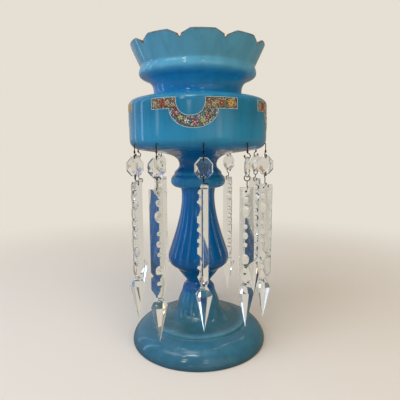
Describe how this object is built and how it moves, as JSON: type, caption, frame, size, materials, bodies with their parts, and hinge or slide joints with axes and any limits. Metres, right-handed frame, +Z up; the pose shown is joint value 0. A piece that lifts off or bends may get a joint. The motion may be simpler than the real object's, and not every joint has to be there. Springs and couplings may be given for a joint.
{
  "type": "mantel lustre",
  "caption": "Opaline glass vase with a scalloped rim, drum and baluster stem on a domed foot, hung round with octagonal crystal buttons and notched spear prisms that swing.",
  "frame": {"origin": "on the table, under the middle of the foot", "axes": "+Z up along the turned axis, -Y towards the viewer of the front, +X to that viewer's right"},
  "size_m": [0.148, 0.1537, 0.3051],
  "materials": {
    "foot_glass": "fire-polished opaline",
    "stem_glass": "fire-polished opaline",
    "bowl_glass": "fire-polished opaline",
    "crystal": "cut and polished lead crystal",
    "pin_wire": "tarnished"
  },
  "bodies": {
    "vase": {"foot": "foot_glass", "stem": "stem_glass", "knop": "stem_glass", "bowl": "bowl_glass"},
    "drop_01_hanger": {"drop_01_hanger": "pin_wire"},
    "drop_01_button": {"drop_01_button": "crystal"},
    "drop_01_link": {"drop_01_link": "pin_wire"},
    "drop_01_prism": {"drop_01_prism": "crystal"},
    "drop_02_hanger": {"drop_02_hanger": "pin_wire"},
    "drop_02_button": {"drop_02_button": "crystal"},
    "drop_02_link": {"drop_02_link": "pin_wire"},
    "drop_02_prism": {"drop_02_prism": "crystal"},
    "drop_03_hanger": {"drop_03_hanger": "pin_wire"},
    "drop_03_button": {"drop_03_button": "crystal"},
    "drop_03_link": {"drop_03_link": "pin_wire"},
    "drop_03_prism": {"drop_03_prism": "crystal"},
    "drop_04_hanger": {"drop_04_hanger": "pin_wire"},
    "drop_04_button": {"drop_04_button": "crystal"},
    "drop_04_link": {"drop_04_link": "pin_wire"},
    "drop_04_prism": {"drop_04_prism": "crystal"},
    "drop_05_hanger": {"drop_05_hanger": "pin_wire"},
    "drop_05_button": {"drop_05_button": "crystal"},
    "drop_05_link": {"drop_05_link": "pin_wire"},
    "drop_05_prism": {"drop_05_prism": "crystal"},
    "drop_06_hanger": {"drop_06_hanger": "pin_wire"},
    "drop_06_button": {"drop_06_button": "crystal"},
    "drop_06_link": {"drop_06_link": "pin_wire"},
    "drop_06_prism": {"drop_06_prism": "crystal"},
    "drop_07_hanger": {"drop_07_hanger": "pin_wire"},
    "drop_07_button": {"drop_07_button": "crystal"},
    "drop_07_link": {"drop_07_link": "pin_wire"},
    "drop_07_prism": {"drop_07_prism": "crystal"},
    "drop_08_hanger": {"drop_08_hanger": "pin_wire"},
    "drop_08_button": {"drop_08_button": "crystal"},
    "drop_08_link": {"drop_08_link": "pin_wire"},
    "drop_08_prism": {"drop_08_prism": "crystal"},
    "drop_09_hanger": {"drop_09_hanger": "pin_wire"},
    "drop_09_button": {"drop_09_button": "crystal"},
    "drop_09_link": {"drop_09_link": "pin_wire"},
    "drop_09_prism": {"drop_09_prism": "crystal"},
    "drop_10_hanger": {"drop_10_hanger": "pin_wire"},
    "drop_10_button": {"drop_10_button": "crystal"},
    "drop_10_link": {"drop_10_link": "pin_wire"},
    "drop_10_prism": {"drop_10_prism": "crystal"}
  },
  "joints": [
    {"name": "drop_01_hanger_roll", "type": "hinge", "parent": "vase", "child": "drop_01_hanger", "pos_m": [0.00483, -0.06903, 0.21025], "axis": [0.0698, -0.9976, 0], "range_deg": [-4, 4]},
    {"name": "drop_01_button_swing", "type": "hinge", "parent": "drop_01_hanger", "child": "drop_01_button", "pos_m": [0.00483, -0.06903, 0.19845], "axis": [-0.9976, -0.0698, 0], "range_deg": [-5, 25]},
    {"name": "drop_01_link_swing", "type": "hinge", "parent": "drop_01_button", "child": "drop_01_link", "pos_m": [0.00483, -0.06903, 0.17875], "axis": [-0.9976, -0.0698, 0], "range_deg": [-3, 20]},
    {"name": "drop_01_prism_roll", "type": "hinge", "parent": "drop_01_link", "child": "drop_01_prism", "pos_m": [0.00483, -0.06903, 0.17125], "axis": [-0.9703, -0.2419, 0], "range_deg": [-3, 8]},
    {"name": "drop_02_hanger_roll", "type": "hinge", "parent": "vase", "child": "drop_02_hanger", "pos_m": [0.04448, -0.05301, 0.21025], "axis": [0.6428, -0.766, 0], "range_deg": [-4, 4]},
    {"name": "drop_02_button_swing", "type": "hinge", "parent": "drop_02_hanger", "child": "drop_02_button", "pos_m": [0.04448, -0.05301, 0.19845], "axis": [0, 1, 0], "range_deg": [-4, 6]},
    {"name": "drop_02_link_swing", "type": "hinge", "parent": "drop_02_button", "child": "drop_02_link", "pos_m": [0.04448, -0.05301, 0.17875], "axis": [0, 1, 0], "range_deg": [-3, 6]},
    {"name": "drop_02_prism_roll", "type": "hinge", "parent": "drop_02_link", "child": "drop_02_prism", "pos_m": [0.04448, -0.05301, 0.16685], "axis": [-0.342, -0.9397, 0], "range_deg": [-5, 5]},
    {"name": "drop_03_hanger_roll", "type": "hinge", "parent": "vase", "child": "drop_03_hanger", "pos_m": [0.06715, -0.01674, 0.21025], "axis": [0.9703, -0.2419, 0], "range_deg": [-4, 4]},
    {"name": "drop_03_button_swing", "type": "hinge", "parent": "drop_03_hanger", "child": "drop_03_button", "pos_m": [0.06715, -0.01674, 0.19845], "axis": [-0.9945, -0.1045, 0], "range_deg": [-2, 6]},
    {"name": "drop_03_link_swing", "type": "hinge", "parent": "drop_03_button", "child": "drop_03_link", "pos_m": [0.06715, -0.01674, 0.17875], "axis": [-0.9945, -0.1045, 0], "range_deg": [-2, 6]},
    {"name": "drop_03_prism_roll", "type": "hinge", "parent": "drop_03_link", "child": "drop_03_prism", "pos_m": [0.06715, -0.01674, 0.16625], "axis": [-0.5736, -0.8192, 0], "range_deg": [-3, 5]},
    {"name": "drop_04_hanger_roll", "type": "hinge", "parent": "vase", "child": "drop_04_hanger", "pos_m": [0.06416, 0.02592, 0.21025], "axis": [0.9272, 0.3746, 0], "range_deg": [-3, 4]},
    {"name": "drop_04_button_swing", "type": "hinge", "parent": "drop_04_hanger", "child": "drop_04_button", "pos_m": [0.06416, 0.02592, 0.19845], "axis": [0.5299, -0.848, 0], "range_deg": [-4, 25]},
    {"name": "drop_04_link_swing", "type": "hinge", "parent": "drop_04_button", "child": "drop_04_link", "pos_m": [0.06416, 0.02592, 0.17875], "axis": [0.5299, -0.848, 0], "range_deg": [-3, 20]},
    {"name": "drop_04_prism_roll", "type": "hinge", "parent": "drop_04_link", "child": "drop_04_prism", "pos_m": [0.06416, 0.02592, 0.16925], "axis": [0.6157, 0.788, 0], "range_deg": [-3, 5]},
    {"name": "drop_05_hanger_roll", "type": "hinge", "parent": "vase", "child": "drop_05_hanger", "pos_m": [0.03667, 0.05869, 0.21025], "axis": [0.5299, 0.848, 0], "range_deg": [-4, 4]},
    {"name": "drop_05_button_swing", "type": "hinge", "parent": "drop_05_hanger", "child": "drop_05_button", "pos_m": [0.03667, 0.05869, 0.19845], "axis": [0.682, -0.7314, 0], "range_deg": [-5, 25]},
    {"name": "drop_05_link_swing", "type": "hinge", "parent": "drop_05_button", "child": "drop_05_link", "pos_m": [0.03667, 0.05869, 0.17875], "axis": [0.682, -0.7314, 0], "range_deg": [-3, 20]},
    {"name": "drop_05_prism_roll", "type": "hinge", "parent": "drop_05_link", "child": "drop_05_prism", "pos_m": [0.03667, 0.05869, 0.16825], "axis": [0.788, 0.6157, 0], "range_deg": [-5, 5]},
    {"name": "drop_06_hanger_roll", "type": "hinge", "parent": "vase", "child": "drop_06_hanger", "pos_m": [-0.00483, 0.06903, 0.21025], "axis": [-0.0698, 0.9976, 0], "range_deg": [-4, 4]},
    {"name": "drop_06_button_swing", "type": "hinge", "parent": "drop_06_hanger", "child": "drop_06_button", "pos_m": [-0.00483, 0.06903, 0.19845], "axis": [0.9781, 0.2079, 0], "range_deg": [-5, 25]},
    {"name": "drop_06_link_swing", "type": "hinge", "parent": "drop_06_button", "child": "drop_06_link", "pos_m": [-0.00483, 0.06903, 0.17875], "axis": [0.9781, 0.2079, 0], "range_deg": [-3, 20]},
    {"name": "drop_06_prism_roll", "type": "hinge", "parent": "drop_06_link", "child": "drop_06_prism", "pos_m": [-0.00483, 0.06903, 0.17025], "axis": [-0.3256, 0.9455, 0], "range_deg": [-5, 5]},
    {"name": "drop_07_hanger_roll", "type": "hinge", "parent": "vase", "child": "drop_07_hanger", "pos_m": [-0.04448, 0.05301, 0.21025], "axis": [-0.6428, 0.766, 0], "range_deg": [-4, 4]},
    {"name": "drop_07_button_swing", "type": "hinge", "parent": "drop_07_hanger", "child": "drop_07_button", "pos_m": [-0.04448, 0.05301, 0.19845], "axis": [0.766, 0.6428, 0], "range_deg": [-5, 25]},
    {"name": "drop_07_link_swing", "type": "hinge", "parent": "drop_07_button", "child": "drop_07_link", "pos_m": [-0.04448, 0.05301, 0.17875], "axis": [0.766, 0.6428, 0], "range_deg": [-3, 20]},
    {"name": "drop_07_prism_roll", "type": "hinge", "parent": "drop_07_link", "child": "drop_07_prism", "pos_m": [-0.04448, 0.05301, 0.16925], "axis": [0, 1, 0], "range_deg": [-5, 5]},
    {"name": "drop_08_hanger_roll", "type": "hinge", "parent": "vase", "child": "drop_08_hanger", "pos_m": [-0.06543, 0.02253, 0.21025], "axis": [-0.9455, 0.3256, 0], "range_deg": [-4, 4]},
    {"name": "drop_08_button_swing", "type": "hinge", "parent": "drop_08_hanger", "child": "drop_08_button", "pos_m": [-0.06543, 0.02253, 0.19845], "axis": [-0.0175, 0.9998, 0], "range_deg": [-5, 20]},
    {"name": "drop_08_link_swing", "type": "hinge", "parent": "drop_08_button", "child": "drop_08_link", "pos_m": [-0.06543, 0.02253, 0.17875], "axis": [-0.0175, 0.9998, 0], "range_deg": [-3, 15]},
    {"name": "drop_08_prism_roll", "type": "hinge", "parent": "drop_08_link", "child": "drop_08_prism", "pos_m": [-0.06543, 0.02253, 0.16825], "axis": [-0.9945, -0.1045, 0], "range_deg": [-5, 5]},
    {"name": "drop_09_hanger_roll", "type": "hinge", "parent": "vase", "child": "drop_09_hanger", "pos_m": [-0.05993, -0.0346, 0.21025], "axis": [-0.866, -0.5, 0], "range_deg": [-3, 4]},
    {"name": "drop_09_button_swing", "type": "hinge", "parent": "drop_09_hanger", "child": "drop_09_button", "pos_m": [-0.05993, -0.0346, 0.19845], "axis": [-1, 0, 0], "range_deg": [-4, 6]},
    {"name": "drop_09_link_swing", "type": "hinge", "parent": "drop_09_button", "child": "drop_09_link", "pos_m": [-0.05993, -0.0346, 0.17875], "axis": [-1, 0, 0], "range_deg": [-3, 6]},
    {"name": "drop_09_prism_roll", "type": "hinge", "parent": "drop_09_link", "child": "drop_09_prism", "pos_m": [-0.05993, -0.0346, 0.17105], "axis": [-0.866, 0.5, 0], "range_deg": [-4, 5]},
    {"name": "drop_10_hanger_roll", "type": "hinge", "parent": "vase", "child": "drop_10_hanger", "pos_m": [-0.03667, -0.05869, 0.21025], "axis": [-0.5299, -0.848, 0], "range_deg": [-4, 4]},
    {"name": "drop_10_button_swing", "type": "hinge", "parent": "drop_10_hanger", "child": "drop_10_button", "pos_m": [-0.03667, -0.05869, 0.19845], "axis": [-0.9903, -0.1392, 0], "range_deg": [-5, 15]},
    {"name": "drop_10_link_swing", "type": "hinge", "parent": "drop_10_button", "child": "drop_10_link", "pos_m": [-0.03667, -0.05869, 0.17875], "axis": [-0.9903, -0.1392, 0], "range_deg": [-3, 12]},
    {"name": "drop_10_prism_roll", "type": "hinge", "parent": "drop_10_link", "child": "drop_10_prism", "pos_m": [-0.03667, -0.05869, 0.16625], "axis": [0.309, -0.9511, 0], "range_deg": [-5, 5]}
  ]
}
